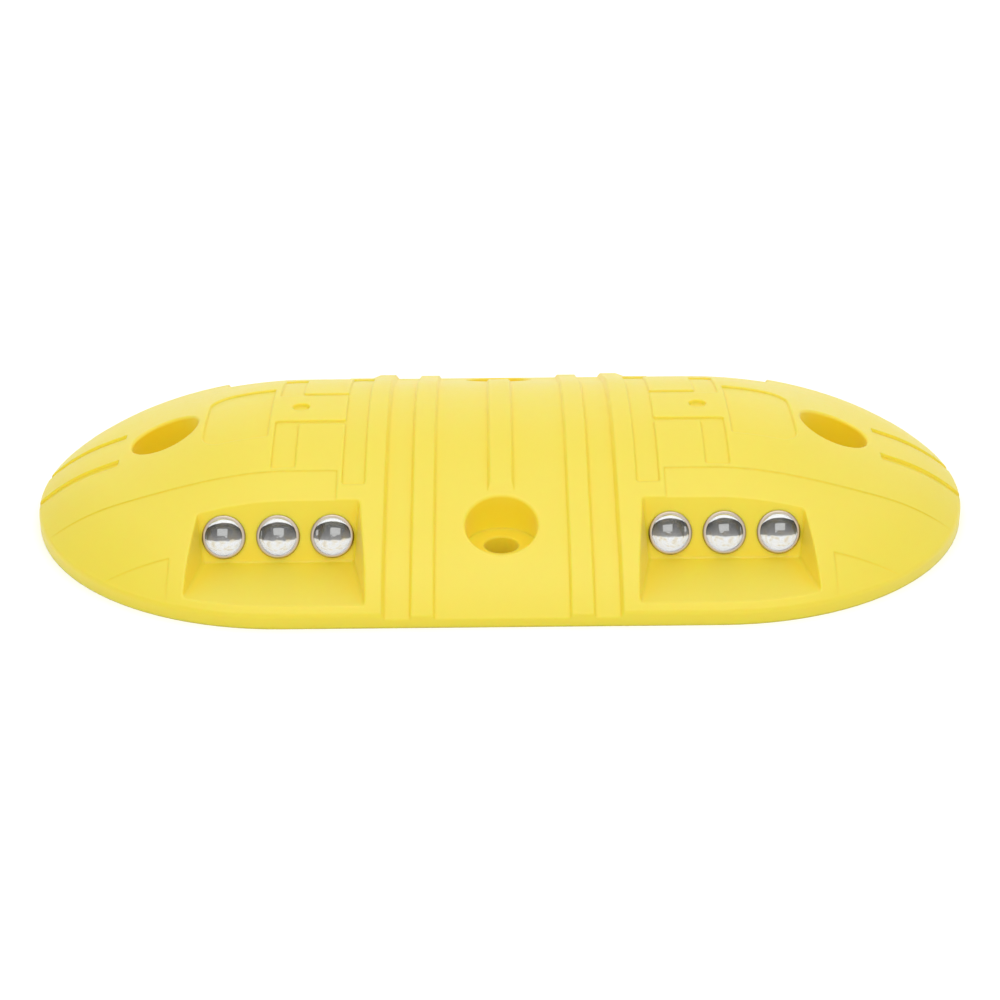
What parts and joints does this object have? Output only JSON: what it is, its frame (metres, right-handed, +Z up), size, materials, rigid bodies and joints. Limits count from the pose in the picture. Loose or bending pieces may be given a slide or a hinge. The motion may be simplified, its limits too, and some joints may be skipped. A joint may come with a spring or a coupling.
{
  "type": "road stud",
  "caption": "Low domed oval road stud in yellow plastic, with mirrored glass lenses in recesses on both long faces and counterbored holes for bolting it to the road.",
  "frame": {"origin": "middle of the underside, on the road surface", "axes": "+X along the length to the right of the picture, -Y towards the pictured face, +Z up"},
  "size_m": [0.45, 0.254, 0.051],
  "materials": {
    "yellow_plastic": "satin",
    "lens_glass": "polished",
    "mirror_aluminium": "polished"
  },
  "bodies": {
    "root": {"body": "yellow_plastic", "lens_front_left_1": "lens_glass", "lens_front_left_2": "lens_glass", "lens_front_left_3": "lens_glass", "lens_front_right_1": "lens_glass", "lens_front_right_2": "lens_glass", "lens_front_right_3": "lens_glass", "lens_back_left_1": "lens_glass", "lens_back_left_2": "lens_glass", "lens_back_left_3": "lens_glass", "lens_back_right_1": "lens_glass", "lens_back_right_2": "lens_glass", "lens_back_right_3": "lens_glass", "mirror_cup_front_left_1": "mirror_aluminium", "mirror_cup_front_left_2": "mirror_aluminium", "mirror_cup_front_left_3": "mirror_aluminium", "mirror_cup_front_right_1": "mirror_aluminium", "mirror_cup_front_right_2": "mirror_aluminium", "mirror_cup_front_right_3": "mirror_aluminium", "mirror_cup_back_left_1": "mirror_aluminium", "mirror_cup_back_left_2": "mirror_aluminium", "mirror_cup_back_left_3": "mirror_aluminium", "mirror_cup_back_right_1": "mirror_aluminium", "mirror_cup_back_right_2": "mirror_aluminium", "mirror_cup_back_right_3": "mirror_aluminium"}
  },
  "joints": []
}
